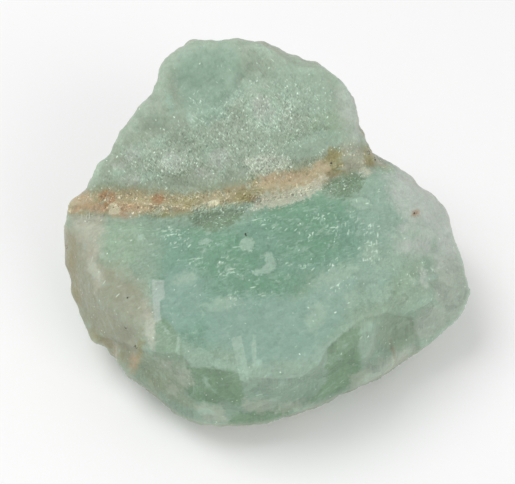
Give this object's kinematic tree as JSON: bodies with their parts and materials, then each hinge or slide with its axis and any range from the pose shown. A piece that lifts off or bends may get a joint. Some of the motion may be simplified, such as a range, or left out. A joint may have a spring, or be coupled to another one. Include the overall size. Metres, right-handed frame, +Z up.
{
  "type": "green calcite specimen",
  "caption": "Rough chunk of green calcite: a broad lower block and a leaning upper block grown together along an iron-stained seam, resting on a flat face, for display.",
  "frame": {"origin": "middle of the bounding box, on the flat face that the stone rests on", "axes": "+Z up, the smooth teal face looks up and towards -Y, the seam runs left to right along X"},
  "size_m": [0.0682, 0.0606, 0.0428],
  "materials": {
    "calcite": "pale grey-green, sugary and slightly waxy, teal on the lower face, with a tan to rust seam and pale cleavage flakes"
  },
  "bodies": {
    "root": {"green_calcite": "calcite"}
  },
  "joints": []
}
